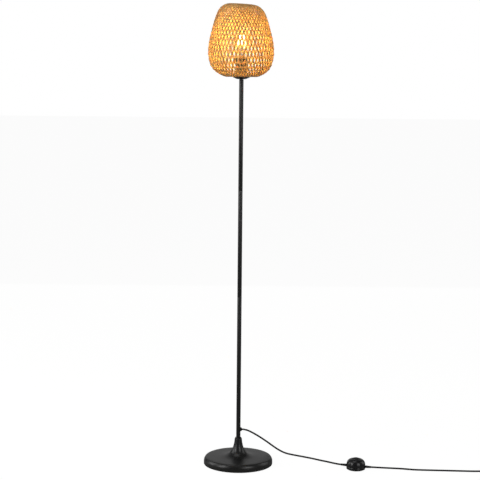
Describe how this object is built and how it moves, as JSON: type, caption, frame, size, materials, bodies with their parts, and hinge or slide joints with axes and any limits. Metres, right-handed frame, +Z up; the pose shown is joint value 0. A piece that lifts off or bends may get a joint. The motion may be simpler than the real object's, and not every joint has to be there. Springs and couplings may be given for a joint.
{
  "type": "floor lamp with woven bamboo shade",
  "caption": "Floor lamp: woven bamboo lantern shade on a slim black steel pole and round weighted base, with a round foot switch on its mains lead.",
  "frame": {"origin": "middle of the base's underside, on the floor", "axes": "+Z up along the pole; the mains lead leaves the pole towards +X; -Y faces the viewer"},
  "size_m": [1.0826, 0.24, 1.5911],
  "materials": {
    "satin_black_coat": "satin powder coat",
    "black_plastic": "moulded, gloss",
    "cord_sheath": "extruded flexible PVC, satin",
    "black_rubber": "moulded, matt",
    "zinc_steel": "zinc plated",
    "plated_pin": "nickel plated",
    "iron_weight": "as cast",
    "brass": "plain",
    "ceramic": "unglazed steatite",
    "bamboo": "thin split bamboo, lit from inside",
    "clear_glass": "blown, clear",
    "lit_filament": "phosphor-coated filaments on a glass stem, lit"
  },
  "bodies": {
    "root": {"base_pad": "black_rubber", "base_weight": "iron_weight", "base_cover": "satin_black_coat", "neck_bush": "black_plastic", "base_stud": "zinc_steel", "base_washer": "zinc_steel", "base_nut": "zinc_steel", "pole_lower": "satin_black_coat", "pole_middle": "satin_black_coat", "pole_upper": "satin_black_coat", "insert_base": "zinc_steel", "insert_lower_top": "zinc_steel", "insert_middle_bottom": "zinc_steel", "insert_middle_top": "zinc_steel", "insert_upper_bottom": "zinc_steel", "insert_upper_top": "zinc_steel", "nipple_low": "zinc_steel", "nipple_high": "zinc_steel", "nipple_top": "zinc_steel", "cord_grommet": "black_rubber", "inner_lead": "cord_sheath", "shade_dish": "satin_black_coat", "dish_washer": "zinc_steel", "dish_nut": "zinc_steel", "holder_cap": "black_plastic", "holder_body": "black_plastic", "holder_core": "ceramic", "holder_screw_shell": "brass", "holder_contact": "brass", "cord_to_switch": "cord_sheath", "cord_to_coil": "cord_sheath", "cord_coil": "cord_sheath", "cord_tail": "cord_sheath", "cord_tie": "black_rubber", "plug_body": "black_plastic", "plug_pin_left": "plated_pin", "plug_pin_right": "plated_pin", "switch_pad": "black_rubber", "switch_base": "black_plastic", "switch_cover": "black_plastic", "switch_guide": "black_plastic", "switch_block": "black_plastic", "switch_contact_in": "brass", "switch_contact_out": "brass", "switch_sleeve_in": "black_rubber", "switch_sleeve_out": "black_rubber", "switch_screw_back": "zinc_steel", "switch_screw_front": "zinc_steel", "switch_spring": "zinc_steel"},
    "shade": {"shade_weave_lower": "bamboo", "shade_weave_middle": "bamboo", "shade_weave_upper": "bamboo", "shade_bottom_hoop": "bamboo", "shade_top_hoop": "bamboo"},
    "bulb": {"bulb_tip": "brass", "bulb_cap": "brass", "bulb_globe": "clear_glass", "bulb_stem": "lit_filament"},
    "switch_button": {"switch_button": "black_plastic", "switch_bridge": "brass"}
  },
  "joints": [
    {"name": "shade_lift", "type": "slide", "parent": "root", "child": "shade", "axis": [0, 0, 1], "range_m": [0, 0.15]},
    {"name": "bulb_turn", "type": "hinge", "parent": "root", "child": "bulb", "pos_m": [0, 0, 1.466], "axis": [0, 0, 1], "range_deg": [0, 360]},
    {"name": "switch_button_press", "type": "slide", "parent": "root", "child": "switch_button", "axis": [0, 0, -1], "range_m": [0, 0.0035], "stiffness_N_per_m": 1200, "springref_m": -0.005, "deforming": ["switch_spring"]}
  ]
}
